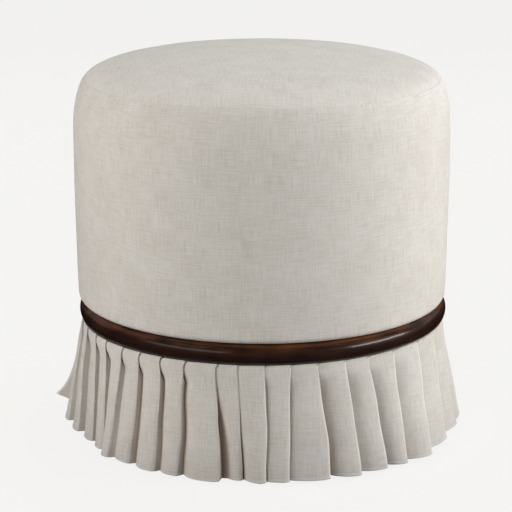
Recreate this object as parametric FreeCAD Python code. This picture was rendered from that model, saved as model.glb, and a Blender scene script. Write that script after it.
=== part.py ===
import FreeCAD, Part
import math
import os

# A round upholstered ottoman: a crowned linen drum over a timber frame, a half-round walnut hoop at
# the foot of the drum, and a knife-pleated skirt hung from a rail behind the hoop.
# Millimetres, +Z up. The origin is on the floor, under the middle of the drum.

# Overall sizes
SEAT_HEIGHT = 457.0  # top of the crown above the floor
DRUM_R = 226.0  # widest radius of the drum

# Drum outline: tangent arcs, from the hoop up to the middle of the crown
SIDE_BOW_R = 7400.0  # long bow of the side below the widest level
UPPER_SIDE_R = 135.0  # side above the widest level
UPPER_SIDE_LEAN = 20.0  # degrees that the upper side leans in before the shoulder
SHOULDER_R = 26.0
SHOULDER_SLOPE = 23.0  # degrees that the crown falls at the end of the shoulder
CROWN_EDGE_R = 140.0
CROWN_EDGE_SLOPE = 6.0  # degrees that the crown falls where its flatter middle begins
SEAM_TILT = 40.0  # degrees up the shoulder where top panel and side band are sewn
SEAM_GAP = 0.6
FOOT_ROLL_R = 11.0  # roll of the cover where it turns in over the hoop

# Upholstery layers
COVER_T = 1.2
WADDING_T = 4.0
LAYER_GAP = 0.3  # room between soft layers
FOAM_H = 66.0  # foam over the middle of the deck

# Timber frame
PANEL_T = 18.0  # plywood of base and deck
WALL_T = 3.0  # bent fibreboard
WALL_JOINT = 1.5  # butt joint between the wall's two ends, over the first post
POST_COUNT = 6
POST_W = 40.0
POST_D = 30.0
FIT_GAP = 0.2  # room between rigid pieces that fit round each other

# Walnut hoop
RING_SECTION_R = 15.3
RING_STANDOFF = 0.2  # how far the hoop stands out past the side above it
RING_FLAT = 5.3  # from the middle of the section in to its flat back
RING_REBATE = 8.0  # width of the step that sits over the edge of the base
RING_LIFT = 0.3  # lowest line of the hoop above the underside of the base
RING_SEAT_GAP = 0.4  # room between hoop and cover

# Legs and glides
LEG_COUNT = 4
LEG_H = 126.5
LEG_TOP = 44.0
LEG_FOOT = 34.0
LEG_EDGE_R = 3.0
LEG_CIRCLE_R = 140.0
GLIDE_H = 6.0
GLIDE_R = 13.0
GLIDE_EDGE_R = 3.0
GLIDE_NAIL_R = 1.6
GLIDE_NAIL_L = 14.0

# Skirt, its header tape and its rail
PANEL_COUNT = 4  # lengths of cloth, joined inside folds
PLEATS_PER_PANEL = 11
CLOTH_T = 1.4  # linen with its lining
SKIRT_SETBACK = 4.0  # fold edges at the top, in from the hoop's outer edge
SKIRT_TOP_GAP = 0.3  # below the underside of the base
SKIRT_FLOOR_GAP = 4.0
PRESS_H = 22.0  # height over which the pleats are pressed
PRESS_FLARE = 1.5  # how far the fold edges come out over the pressed height
SKIRT_FLARE = 25.0  # how far the fold edges come out over the whole drop
TOP_DEPTH = 7.4  # fold edge to inner fold, at the top
HEM_DEPTH = 16.0  # fold edge to inner fold, at the hem
TOP_LAP = 6.0  # how far a fold edge covers the next pleat, at the top
HEM_LAP = 2.0
TOP_BOW = 0.5  # rise of a pleat's face between its folds, at the top
HEM_BOW = 2.0
PANEL_JOINT = 0.4  # gap between two lengths of cloth, inside a fold
HEADER_T = 1.5
HEADER_GAP = 0.5  # room between header and inner folds
RAIL_W = 16.0
RAIL_H = 25.0

# Dust cover
DUST_T = 0.6
DUST_GAP = 1.0  # round the legs and inside the rail

# Fixings
HOLE_GAP = 0.15  # room round every shank and head
HEAD_SINK = 0.3  # heads lie this far below the face
SCREW_R = 2.0
SCREW_HEAD_R = 3.8
SCREW_HEAD_H = 2.2
FRAME_SCREW_L = 50.0
RING_SCREW_COUNT = 6
RING_SCREW_L = 25.0
RING_SCREW_INSET = 3.6  # from the flat back of the hoop
RING_SCREW_FIRST = 45.0  # degrees
RAIL_SCREW_COUNT = 6
RAIL_SCREW_L = 36.0
RAIL_SCREW_FIRST = 15.0  # degrees
BOLT_R = 4.0
BOLT_IN_LEG = 40.0
BOLT_ABOVE_BASE = 6.0
NUT_BARREL_R = 5.5
NUT_BARREL_H = 10.0
NUT_FLANGE_R = 11.0
NUT_FLANGE_T = 1.6

ORIGIN = FreeCAD.Vector(0, 0, 0)
UP = FreeCAD.Vector(0, 0, 1)
FULL_TURN = 360.0
PLUMB = 90.0
TOUCH = 1e-6


def spot(r, z):
    """Point of a profile at radius r and height z."""
    return FreeCAD.Vector(r, 0, z)


def on_circle(centre, radius, tilt):
    """Point of a profile circle, at tilt degrees above the outward direction."""
    angle = math.radians(tilt)
    return centre + spot(radius * math.cos(angle), radius * math.sin(angle))


def arc(centre, radius, start, end):
    """Start, middle and end points of an arc of a profile."""
    return tuple(on_circle(centre, radius, tilt) for tilt in (start, (start + end) / 2, end))


def backwards(steps):
    """The same points and arcs, walked the other way."""
    return [tuple(reversed(step)) if isinstance(step, tuple) else step for step in reversed(steps)]


def closed_wire(steps):
    """Closed wire through corner points and three-point arcs, with straight lines between them."""
    edges = []
    corners = [step if isinstance(step, tuple) else (step,) for step in steps]
    for here, after in zip(corners, corners[1:] + corners[:1]):
        if len(here) > 1:
            edges.append(Part.Arc(*here).toShape())
        if not here[-1].isEqual(after[0], TOUCH):
            edges.append(Part.makeLine(here[-1], after[0]))
    return Part.Wire(edges)


def turned(steps, turn=FULL_TURN):
    """Solid made by turning a profile round the axis of the drum."""
    return Part.Face(closed_wire(steps)).revolve(ORIGIN, UP, turn)


def disc(radius, low, high):
    """Round panel between two heights."""
    return Part.makeCylinder(radius, high - low, spot(0, low))


def hoop(inner, outer, low, high):
    """Plain hoop of rectangular section."""
    return turned([spot(inner, low), spot(outer, low), spot(outer, high), spot(inner, high)])


def turned_to(shape, degrees):
    """Copy of a shape, turned round the axis of the drum."""
    copy = shape.copy()
    copy.rotate(ORIGIN, UP, degrees)
    return copy


def around(shape, count, first=0.0):
    """Evenly spaced copies of a shape round the axis of the drum."""
    return [turned_to(shape, first + step * FULL_TURN / count) for step in range(count)]


# Levels from the floor up
LEG_TOP_Z = GLIDE_H + LEG_H
BASE_TOP_Z = LEG_TOP_Z + PANEL_T
RING_Z = LEG_TOP_Z + RING_LIFT + RING_SECTION_R
RING_TOP_Z = RING_Z + RING_SECTION_R
WADDING_IN = COVER_T + LAYER_GAP
FOAM_IN = WADDING_IN + WADDING_T + LAYER_GAP
DECK_TOP_Z = SEAT_HEIGHT - FOAM_IN - FOAM_H
DECK_LOW_Z = DECK_TOP_Z - PANEL_T


def upper_arcs():
    """Arcs from the widest level, taken as height 0, to the axis: centre, radius, start and end tilt."""
    arcs = []
    place = spot(DRUM_R, 0)
    tilt = 0.0
    bends = (
        (UPPER_SIDE_R, UPPER_SIDE_LEAN),
        (SHOULDER_R, PLUMB - SHOULDER_SLOPE),
        (CROWN_EDGE_R, PLUMB - CROWN_EDGE_SLOPE),
    )
    for radius, end in bends:
        centre = on_circle(place, -radius, tilt)
        arcs.append((centre, radius, tilt, end))
        place = on_circle(centre, radius, end)
        tilt = end
    radius = place.x / math.cos(math.radians(tilt))
    arcs.append((on_circle(place, -radius, tilt), radius, tilt, PLUMB))
    return arcs


def drum_arcs():
    """Arcs of the whole outline, the long bow of the side first."""
    arcs = upper_arcs()
    last_centre, last_radius, _, _ = arcs[-1]
    widest = SEAT_HEIGHT - (last_centre.z + last_radius)
    lift = spot(0, widest)
    lifted = [(centre + lift, radius, start, end) for centre, radius, start, end in arcs]
    return [(spot(DRUM_R - SIDE_BOW_R, widest), SIDE_BOW_R, -PLUMB, 0.0)] + lifted


DRUM_ARCS = drum_arcs()


def outline(inset, low, high):
    """Arcs along the drum's outline, drawn in by inset, between two tilts."""
    steps = []
    for centre, radius, start, end in DRUM_ARCS:
        first = max(start, low)
        last = min(end, high)
        if first < last:
            steps.append(arc(centre, radius - inset, first, last))
    return steps


def tilt_at(z, inset):
    """Tilt of the outline, drawn in by inset, at a height."""
    for centre, radius, _, end in DRUM_ARCS:
        top = on_circle(centre, radius - inset, end).z
        if z <= top:
            return math.degrees(math.asin((z - centre.z) / (radius - inset)))


# Radii from the foot of the drum inwards
BOW_CENTRE = DRUM_ARCS[0][0]
FOOT_R = on_circle(BOW_CENTRE, SIDE_BOW_R, tilt_at(RING_TOP_Z, 0)).x
RING_OUT_R = FOOT_R + RING_STANDOFF
RING_CENTRE = spot(RING_OUT_R - RING_SECTION_R, RING_Z)
RING_IN_R = RING_CENTRE.x - RING_FLAT
WALL_OUT_R = RING_IN_R - FIT_GAP
WALL_IN_R = WALL_OUT_R - WALL_T
FRAME_R = WALL_IN_R - FIT_GAP
BASE_R = RING_IN_R + RING_REBATE - FIT_GAP
POST_R = FRAME_R - POST_D / 2
SKIRT_R = RING_OUT_R - SKIRT_SETBACK
HEADER_R = SKIRT_R - TOP_DEPTH - CLOTH_T - HEADER_GAP
RAIL_R = HEADER_R - HEADER_T - FIT_GAP
RAIL_LOW_Z = LEG_TOP_Z - RAIL_H
SKIRT_TOP_Z = LEG_TOP_Z - SKIRT_TOP_GAP


def foot_roll_centre():
    """Centre of the roll that touches the side's bow from inside and the hoop's seat from outside."""
    reach_bow = SIDE_BOW_R - FOOT_ROLL_R
    reach_ring = RING_SECTION_R + RING_SEAT_GAP + FOOT_ROLL_R
    between = RING_CENTRE - BOW_CENTRE
    along = (between.Length**2 + reach_bow**2 - reach_ring**2) / (2 * between.Length)
    aside = math.sqrt(reach_bow**2 - along**2)
    ahead = FreeCAD.Vector(between).normalize()
    return BOW_CENTRE + ahead * along + spot(-ahead.z, ahead.x) * aside


def tilt_from(centre, point):
    """Tilt of a point seen from a centre."""
    return math.degrees(math.atan2(point.z - centre.z, point.x - centre.x))


def rolled_outline(inset, turn_in, high):
    """Drum's outline, drawn in by inset, from a tilt on its foot roll up to a tilt of the outline."""
    roll = foot_roll_centre()
    foot = tilt_from(BOW_CENTRE, roll)
    return [arc(roll, FOOT_ROLL_R - inset, turn_in, foot)] + outline(inset, foot, high)


def cover_side_edge(inset):
    """Side band's outline from its tucked edge up to the seam, drawn in by inset."""
    seat_r = RING_SECTION_R + RING_SEAT_GAP + inset
    tuck = math.degrees(math.acos((WALL_OUT_R + LAYER_GAP - RING_CENTRE.x) / seat_r))
    meet = tilt_from(RING_CENTRE, foot_roll_centre())
    seam = SEAM_TILT - math.degrees(SEAM_GAP / 2 / SHOULDER_R)
    return [arc(RING_CENTRE, seat_r, tuck, meet)] + rolled_outline(inset, meet - 2 * PLUMB, seam)


def cover_side():
    """Linen side band, tucked in over the hoop."""
    return turned(cover_side_edge(0) + backwards(cover_side_edge(COVER_T)))


def cover_top():
    """Crowned linen top panel."""
    seam = SEAM_TILT + math.degrees(SEAM_GAP / 2 / SHOULDER_R)
    return turned(outline(0, seam, PLUMB) + backwards(outline(COVER_T, seam, PLUMB)))


def fibre_wrap():
    """Wadding between foam and cover, over side and crown, turned under at the foot."""
    outer = rolled_outline(WADDING_IN, -PLUMB, PLUMB)
    return turned(outer + backwards(rolled_outline(WADDING_IN + WADDING_T, -PLUMB, PLUMB)))


def seat_foam():
    """Crowned foam block on the deck."""
    low = DECK_TOP_Z
    return turned([spot(0, low)] + outline(FOAM_IN, tilt_at(low, FOAM_IN), PLUMB))


def side_padding():
    """Foam wrapped round the wall, from its rounded foot to the deck."""
    inner = WALL_OUT_R + LAYER_GAP
    high = DECK_TOP_Z - LAYER_GAP
    outer = rolled_outline(FOAM_IN, -PLUMB, tilt_at(high, FOAM_IN))
    return turned([spot(inner, outer[0][0].z)] + outer + [spot(inner, high)])


def side_wall():
    """Bent fibreboard, its two ends butted over the first post."""
    low = BASE_TOP_Z
    high = DECK_TOP_Z
    joint = math.degrees(WALL_JOINT / WALL_OUT_R)
    corners = [spot(WALL_IN_R, low), spot(WALL_OUT_R, low), spot(WALL_OUT_R, high), spot(WALL_IN_R, high)]
    return turned_to(turned(corners, FULL_TURN - joint), joint / 2)


def screw(length, gap=0.0):
    """Countersunk screw pointing up from its head, or with a gap the hole that it lies in."""
    mouth = -HEAD_SINK if gap else 0.0
    head_r = SCREW_HEAD_R + gap
    shank_r = SCREW_R + gap
    tip = length + gap
    face = [spot(0, mouth), spot(head_r, mouth), spot(head_r, 0), spot(shank_r, SCREW_HEAD_H)]
    return turned(face + [spot(shank_r, tip), spot(0, tip)])


def screws_up(count, first, radius, face_z, length, gap=0.0):
    """Ring of screws driven up through a face, or their holes."""
    one = screw(length, gap)
    one.translate(spot(radius, face_z + HEAD_SINK))
    return around(one, count, first)


def base_screws(gap=0.0):
    """Screws up through the base into the posts."""
    return screws_up(POST_COUNT, 0.0, POST_R, LEG_TOP_Z, FRAME_SCREW_L, gap)


def deck_screws(gap=0.0):
    """Screws down through the deck into the posts."""
    one = screw(FRAME_SCREW_L, gap)
    one.rotate(ORIGIN, FreeCAD.Vector(1, 0, 0), FULL_TURN / 2)
    one.translate(spot(POST_R, DECK_TOP_Z - HEAD_SINK))
    return around(one, POST_COUNT)


def ring_screws(gap=0.0):
    """Screws up through the rim of the base into the hoop."""
    radius = RING_IN_R + RING_SCREW_INSET
    return screws_up(RING_SCREW_COUNT, RING_SCREW_FIRST, radius, LEG_TOP_Z, RING_SCREW_L, gap)


def rail_screws(gap=0.0):
    """Screws up through the skirt rail into the base."""
    radius = RAIL_R - RAIL_W / 2
    return screws_up(RAIL_SCREW_COUNT, RAIL_SCREW_FIRST, radius, RAIL_LOW_Z, RAIL_SCREW_L, gap)


def at_legs(shape):
    """Copies of a shape on the diagonals, where the legs stand."""
    shape.translate(spot(LEG_CIRCLE_R, 0))
    return around(shape, LEG_COUNT, FULL_TURN / LEG_COUNT / 2)


def hanger_bolts(gap=0.0):
    """Bolts that stand in the legs and pass up through the base."""
    return at_legs(disc(BOLT_R + gap, LEG_TOP_Z - BOLT_IN_LEG - gap, BASE_TOP_Z + BOLT_ABOVE_BASE))


def tee_nuts():
    """Flanged nuts let into the top of the base."""
    inner = BOLT_R + HOLE_GAP
    low = BASE_TOP_Z - NUT_BARREL_H
    high = BASE_TOP_Z + NUT_FLANGE_T
    barrel = [spot(inner, low), spot(NUT_BARREL_R, low), spot(NUT_BARREL_R, BASE_TOP_Z)]
    flange = [spot(NUT_FLANGE_R, BASE_TOP_Z), spot(NUT_FLANGE_R, high), spot(inner, high)]
    return at_legs(turned(barrel + flange))


def nut_holes():
    """Holes in the base for the barrels of the nuts."""
    return at_legs(disc(NUT_BARREL_R + HOLE_GAP, BASE_TOP_Z - NUT_BARREL_H - HOLE_GAP, BASE_TOP_Z))


def base_panel():
    """Plywood base that carries posts, hoop, rail and legs."""
    holes = base_screws(HOLE_GAP) + ring_screws(HOLE_GAP) + rail_screws(HOLE_GAP)
    return disc(BASE_R, LEG_TOP_Z, BASE_TOP_Z).cut(holes + hanger_bolts(HOLE_GAP) + nut_holes())


def seat_deck():
    """Plywood deck inside the top of the wall."""
    return disc(FRAME_R, DECK_LOW_Z, DECK_TOP_Z).cut(deck_screws(HOLE_GAP))


def uprights():
    """Posts between base and deck, their backs rounded to the wall."""
    height = DECK_LOW_Z - BASE_TOP_Z
    corner = FreeCAD.Vector(FRAME_R - POST_D, -POST_W / 2, BASE_TOP_Z)
    block = Part.makeBox(POST_D, POST_W, height, corner)
    post = block.common(disc(FRAME_R, BASE_TOP_Z, DECK_LOW_Z))
    return around(post.cut(base_screws(HOLE_GAP)[:1] + deck_screws(HOLE_GAP)[:1]), POST_COUNT)


def trim_ring():
    """Half-round hoop, stepped at the back to sit over the edge of the base."""
    step_r = RING_IN_R + RING_REBATE
    step_z = BASE_TOP_Z + FIT_GAP
    low = -math.degrees(math.acos((step_r - RING_CENTRE.x) / RING_SECTION_R))
    high = math.degrees(math.acos((RING_IN_R - RING_CENTRE.x) / RING_SECTION_R))
    round_face = arc(RING_CENTRE, RING_SECTION_R, low, high)
    return turned([round_face, spot(RING_IN_R, step_z), spot(step_r, step_z)]).cut(ring_screws(HOLE_GAP))


def skirt_rail():
    """Plywood hoop under the base that the skirt is tacked to."""
    return hoop(RAIL_R - RAIL_W, RAIL_R, RAIL_LOW_Z, LEG_TOP_Z).cut(rail_screws(HOLE_GAP))


def skirt_header():
    """Stiff tape that the pleats are sewn to."""
    return hoop(HEADER_R - HEADER_T, HEADER_R, RAIL_LOW_Z, SKIRT_TOP_Z)


def around_axis(radius, degrees, z):
    """Point at an angle round the axis, counted from the front towards the right."""
    angle = math.radians(degrees - PLUMB)
    return FreeCAD.Vector(radius * math.cos(angle), radius * math.sin(angle), z)


def level_turn(vector, angle):
    """Level vector turned by an angle in radians."""
    return FreeCAD.Rotation(UP, math.degrees(angle)).multVec(vector)


def right_of(vector):
    """Level unit vector to the right of a direction, which is the cloth's face side."""
    return FreeCAD.Vector(vector.y, -vector.x, 0).normalize()


def bowed(start, end, bow):
    """Three points of a face between two folds, raised by bow on the cloth's face side."""
    return (start, (start + end) / 2 + right_of(end - start) * bow, end)


def fold_nose(pivot, start, end):
    """Outermost point of a fold that keeps the cloth's thickness round a pivot."""
    half_way = (start - pivot) + (end - pivot)
    return pivot + half_way.normalize() * CLOTH_T


def skirt_section(z, fold_r, depth, lap, bow):
    """Closed wire of one length of pleated cloth at a height.

    Each pleat runs from an inner fold out to a fold edge that covers the start of the next pleat.
    """
    pitch = FULL_TURN / (PANEL_COUNT * PLEATS_PER_PANEL)
    cover = math.degrees(lap / fold_r)
    inner = [around_axis(fold_r - depth, step * pitch, z) for step in range(PLEATS_PER_PANEL + 1)]
    edges = [around_axis(fold_r - CLOTH_T, (step + 1) * pitch + cover, z) for step in range(PLEATS_PER_PANEL)]
    face = []
    back = []
    for start, edge, end in zip(inner, edges, inner[1:]):
        out = edge - start
        out = level_turn(out, -math.asin(CLOTH_T / out.Length))
        home = end - edge
        home = level_turn(home, math.asin(CLOTH_T / home.Length))
        out_side = right_of(out) * CLOTH_T
        home_side = right_of(home) * CLOTH_T
        nose = fold_nose(edge, edge + out_side, edge + home_side)
        face += [bowed(start, edge + out_side, bow), nose, edge + home_side]
        if back:
            back.append(fold_nose(start, back[-1], start - out_side))
        back += [bowed(start - out_side, edge, bow), end - home_side]
    shorten = FreeCAD.Vector(home).normalize() * PANEL_JOINT
    back[-1] = back[-1] - shorten
    return closed_wire(face + [inner[-1] - shorten] + backwards(back))


def skirt_panels():
    """Knife-pleated lengths of the skirt, pressed at the top and open at the hem."""
    sections = [
        skirt_section(SKIRT_TOP_Z, SKIRT_R, TOP_DEPTH, TOP_LAP, TOP_BOW),
        skirt_section(SKIRT_TOP_Z - PRESS_H, SKIRT_R + PRESS_FLARE, TOP_DEPTH, TOP_LAP, TOP_BOW),
        skirt_section(SKIRT_FLOOR_GAP, SKIRT_R + SKIRT_FLARE, HEM_DEPTH, HEM_LAP, HEM_BOW),
    ]
    return around(Part.makeLoft(sections, True, True), PANEL_COUNT)


def square(side, z):
    """Level square wire round the axis."""
    half = side / 2
    signs = ((-1, -1), (1, -1), (1, 1), (-1, 1), (-1, -1))
    return Part.makePolygon([FreeCAD.Vector(x * half, y * half, z) for x, y in signs])


def legs():
    """Tapered block legs with eased edges, drilled for bolt and nail."""
    block = Part.makeLoft([square(LEG_FOOT, GLIDE_H), square(LEG_TOP, LEG_TOP_Z)], True, True)
    upright = [edge for edge in block.Edges if edge.BoundBox.ZLength > LEG_H / 2]
    stand = block.makeFillet(LEG_EDGE_R, upright)
    bolt_hole = disc(BOLT_R + HOLE_GAP, LEG_TOP_Z - BOLT_IN_LEG - HOLE_GAP, LEG_TOP_Z)
    nail_hole = disc(GLIDE_NAIL_R + HOLE_GAP, GLIDE_H, GLIDE_H + GLIDE_NAIL_L + HOLE_GAP)
    return at_legs(stand.cut([bolt_hole, nail_hole]))


def glides():
    """Nail-on glides with flat soles."""
    edge = arc(spot(GLIDE_R - GLIDE_EDGE_R, GLIDE_EDGE_R), GLIDE_EDGE_R, -PLUMB, 0.0)
    nail_top = GLIDE_H + GLIDE_NAIL_L
    shoulder = [spot(GLIDE_R, GLIDE_H), spot(GLIDE_NAIL_R, GLIDE_H)]
    return at_legs(turned([ORIGIN, edge] + shoulder + [spot(GLIDE_NAIL_R, nail_top), spot(0, nail_top)]))


def dust_cover():
    """Cambric sheet under the base, cut out round the legs."""
    side = LEG_TOP + 2 * DUST_GAP
    low = LEG_TOP_Z - DUST_T
    cutout = Part.makeBox(side, side, DUST_T, FreeCAD.Vector(-side / 2, -side / 2, low))
    return disc(RAIL_R - RAIL_W - DUST_GAP, low, LEG_TOP_Z).cut(at_legs(cutout))


def pieces():
    """Every node's name and shape."""
    shapes = {
        "cover_top": cover_top(),
        "cover_side": cover_side(),
        "fibre_wrap": fibre_wrap(),
        "seat_foam": seat_foam(),
        "side_padding": side_padding(),
        "seat_deck": seat_deck(),
        "side_wall": side_wall(),
        "base_panel": base_panel(),
        "trim_ring": trim_ring(),
        "skirt_rail": skirt_rail(),
        "skirt_header": skirt_header(),
        "dust_cover": dust_cover(),
        "base_screws": Part.makeCompound(base_screws()),
        "deck_screws": Part.makeCompound(deck_screws()),
        "ring_screws": Part.makeCompound(ring_screws()),
        "rail_screws": Part.makeCompound(rail_screws()),
        "hanger_bolts": Part.makeCompound(hanger_bolts()),
        "tee_nuts": Part.makeCompound(tee_nuts()),
    }
    groups = {"upright": uprights(), "skirt_panel": skirt_panels(), "leg": legs(), "glide": glides()}
    for name, members in groups.items():
        for number, shape in enumerate(members, 1):
            shapes[f"{name}_{number}"] = shape
    return shapes


os.makedirs("parts", exist_ok=True)
for name, shape in pieces().items():
    shape.exportStep(f"parts/{name}.step")
    print(name, "valid" if shape.isValid() else "NOT VALID", f"{shape.Volume / 1000:.1f} cm3")
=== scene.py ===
"""Looks of a round skirted ottoman: linen drum, walnut hoop, pleated skirt and what they are built on."""
import logging
import math
import random
from dataclasses import dataclass, field
from enum import Enum
from typing import Any, Mapping, Optional, Sequence, Union

import bmesh
import bpy
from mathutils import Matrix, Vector, noise


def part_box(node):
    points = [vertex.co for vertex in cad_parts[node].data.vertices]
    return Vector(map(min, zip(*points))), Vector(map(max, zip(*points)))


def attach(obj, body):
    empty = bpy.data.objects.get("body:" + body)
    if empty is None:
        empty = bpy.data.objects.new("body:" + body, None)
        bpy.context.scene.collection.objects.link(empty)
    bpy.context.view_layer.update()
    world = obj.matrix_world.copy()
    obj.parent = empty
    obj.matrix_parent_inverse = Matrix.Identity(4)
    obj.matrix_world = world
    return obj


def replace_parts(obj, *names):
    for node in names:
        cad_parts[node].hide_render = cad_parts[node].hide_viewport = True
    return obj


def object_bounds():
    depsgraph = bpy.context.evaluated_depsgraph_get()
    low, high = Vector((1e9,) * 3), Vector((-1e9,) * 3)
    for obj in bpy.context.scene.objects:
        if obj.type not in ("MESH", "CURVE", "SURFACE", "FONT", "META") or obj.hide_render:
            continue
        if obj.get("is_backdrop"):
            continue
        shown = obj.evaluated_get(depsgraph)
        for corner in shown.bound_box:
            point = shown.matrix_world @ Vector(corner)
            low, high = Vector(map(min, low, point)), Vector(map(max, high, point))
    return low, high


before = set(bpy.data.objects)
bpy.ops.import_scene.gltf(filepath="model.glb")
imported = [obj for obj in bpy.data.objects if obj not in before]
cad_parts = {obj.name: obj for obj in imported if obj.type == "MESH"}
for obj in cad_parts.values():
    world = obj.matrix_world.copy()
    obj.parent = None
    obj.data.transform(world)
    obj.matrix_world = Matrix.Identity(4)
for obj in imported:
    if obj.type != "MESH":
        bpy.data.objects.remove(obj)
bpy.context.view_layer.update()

LOG = logging.getLogger("ottoman")
Colour = tuple[float, float, float]
Point = tuple[float, float]
Value = Union["Signal", float]
MM = 0.001
TOUCH = 0.01 * MM
RIGHT_ANGLE = 90.0
HALF_TURN = 180.0
FULL_TURN = 360.0
NOISE_MIDDLE = 0.5
ROOT = "root"
UP = Vector((0, 0, 1))
CUT_MAP = "cut"
FOLD_DEPTH = "fold_depth"
# Vertex weight of the painted highlight along the fold edges.
EDGE_HIGHLIGHT = "edge_highlight_mask"
ROW = "row"


class Signal:
    """A shader socket that takes part in Python expressions."""

    def __init__(self, nodes: "Nodes", socket: bpy.types.NodeSocket) -> None:
        """Wraps an output socket of a node tree."""
        self.nodes = nodes
        self.socket = socket

    def __add__(self, other: Value) -> "Signal":
        """Sum of two values."""
        return self.nodes.math("ADD", self, other)

    def __sub__(self, other: Value) -> "Signal":
        """This value less another."""
        return self.nodes.math("SUBTRACT", self, other)

    def __rsub__(self, other: float) -> "Signal":
        """A number less this value."""
        return self.nodes.math("SUBTRACT", other, self)

    def __mul__(self, other: Value) -> "Signal":
        """Product of two values."""
        return self.nodes.math("MULTIPLY", self, other)

    def __truediv__(self, other: Value) -> "Signal":
        """This value divided by another."""
        return self.nodes.math("DIVIDE", self, other)

    def __rtruediv__(self, other: float) -> "Signal":
        """A number divided by this value."""
        return self.nodes.math("DIVIDE", other, self)

    __radd__ = __add__
    __rmul__ = __mul__

    def sine(self) -> "Signal":
        """Sine of this value."""
        return self.nodes.math("SINE", self)

    def ramp(self, low: float, high: float) -> "Signal":
        """Smooth step from 0 at low to 1 at high."""
        sockets = {"Value": self, "From Min": low, "From Max": high}
        return self.nodes.add("ShaderNodeMapRange", {"interpolation_type": "SMOOTHSTEP"}, sockets)


class Detail(Enum):
    """Fineness of a noise: its levels of detail, and how rough they are."""

    PLAIN = (1.0, 0.5)
    SOFT = (2.0, 0.5)
    SCUFFED = (3.0, 0.5)
    SPUN = (3.0, 0.6)
    CELLED = (3.0, 0.7)
    RINGED = (4.0, 0.55)
    SAWN = (4.0, 0.6)


class Nodes:
    """Builds the node tree of one material."""

    def __init__(self, name: str) -> None:
        """Starts an empty tree for a new material.

        Args:
            name: Name of the material.
        """
        self.material = bpy.data.materials.new(name)
        self.material.use_nodes = True
        self.tree = self.material.node_tree
        self.tree.nodes.clear()

    def add(
        self,
        kind: str,
        settings: Optional[Mapping[str, Any]] = None,
        sockets: Optional[Mapping[Union[str, int], Any]] = None,
        out: Union[str, int] = 0,
    ) -> Signal:
        """Adds one node.

        Args:
            kind: Blender's name of the node's type.
            settings: The node's properties, set before its sockets.
            sockets: Values or signals of its inputs, by name or number.
            out: Name or number of the output that is returned.

        Returns:
            The output as a signal.
        """
        node = self.tree.nodes.new(kind)
        for key, value in (settings or {}).items():
            setattr(node, key, value)
        for key, value in (sockets or {}).items():
            if isinstance(value, Signal):
                self.tree.links.new(value.socket, node.inputs[key])
            else:
                node.inputs[key].default_value = value
        return Signal(self, node.outputs[out] if node.outputs else None)

    def math(self, operation: str, *values: Value) -> Signal:
        """Adds a Math node for an operation on one or two values."""
        return self.add("ShaderNodeMath", {"operation": operation}, dict(enumerate(values)))

    def mix(self, factor: Value, first: Any, second: Any) -> Signal:
        """Mixes two colours by a factor."""
        pair = [value if isinstance(value, Signal) else (*value, 1.0) for value in (first, second)]
        # A Mix node has sockets for each type of data, and inputs 6 and 7 and output 2 are the colours.
        return self.add("ShaderNodeMix", {"data_type": "RGBA"}, {0: factor, 6: pair[0], 7: pair[1]}, 2)

    def vector(self, x: Value, y: Value, z: Value = 0.0) -> Signal:
        """Joins three values into a vector."""
        return self.add("ShaderNodeCombineXYZ", None, {0: x, 1: y, 2: z})

    def split(self, vector: Signal) -> tuple[Signal, Signal, Signal]:
        """Splits a vector into its three values."""
        first = self.add("ShaderNodeSeparateXYZ", None, {0: vector})
        return tuple(Signal(self, output) for output in first.socket.node.outputs)

    def place(self) -> tuple[Signal, Signal, Signal]:
        """Coordinates of the shaded point in the part's frame, in metres."""
        return self.split(self.add("ShaderNodeTexCoord", None, None, "Object"))

    def cut(self) -> tuple[Signal, Signal]:
        """Coordinates along and across the flat cut of a sheet, in metres."""
        along, across, _ = self.split(self.add("ShaderNodeUVMap", {"uv_map": CUT_MAP}))
        return along, across

    def noise(self, vector: Signal, detail: Detail = Detail.SOFT) -> Signal:
        """Adds smooth noise with features about one unit of the vector long.

        Args:
            vector: Where the noise is read.
            detail: Its fineness.

        Returns:
            The noise, from 0 to 1.
        """
        levels, rough = detail.value
        sockets = {"Vector": vector, "Scale": 1.0, "Detail": levels, "Roughness": rough}
        return self.add("ShaderNodeTexNoise", {"noise_dimensions": "3D"}, sockets)

    def bump(self, height: Signal, distance: float, strength: float) -> Signal:
        """Normal bent by a height."""
        sockets = {"Height": height, "Distance": distance, "Strength": strength}
        return self.add("ShaderNodeBump", None, sockets)

    def surface(self, **sockets: Any) -> bpy.types.Material:
        """Ends the tree in a Principled shader.

        Args:
            **sockets: Values or signals of its inputs, with _ for each space in a name.

        Returns:
            The finished material.
        """
        named = {key.replace("_", " "): value for key, value in sockets.items()}
        full = {key: (*value, 1.0) if isinstance(value, tuple) else value for key, value in named.items()}
        shader = self.add("ShaderNodeBsdfPrincipled", None, full)
        self.add("ShaderNodeOutputMaterial", None, {"Surface": shader})
        return self.material


class Lay(Enum):
    """How a cloth's threads lie on a piece."""

    AROUND = "weft level round the drum, warp upright"
    LEVEL = "both threads level, as on the top"
    CUT = "along and across the piece's own flat cut"


@dataclass(frozen=True)
class Mark:
    """Marks in a cloth: their size along weft and warp, their seed, and the noise over which they come up."""

    along: float
    across: float
    seed: float
    begin: float
    full: float
    detail: Detail = Detail.PLAIN

    def signal(self, nodes: Nodes, weft: Signal, warp: Signal) -> Signal:
        """Where the marks lie, from 0 to 1."""
        place = nodes.vector(weft / self.along, warp / self.across, self.seed)
        return nodes.noise(place, self.detail).ramp(self.begin, self.full)


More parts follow.
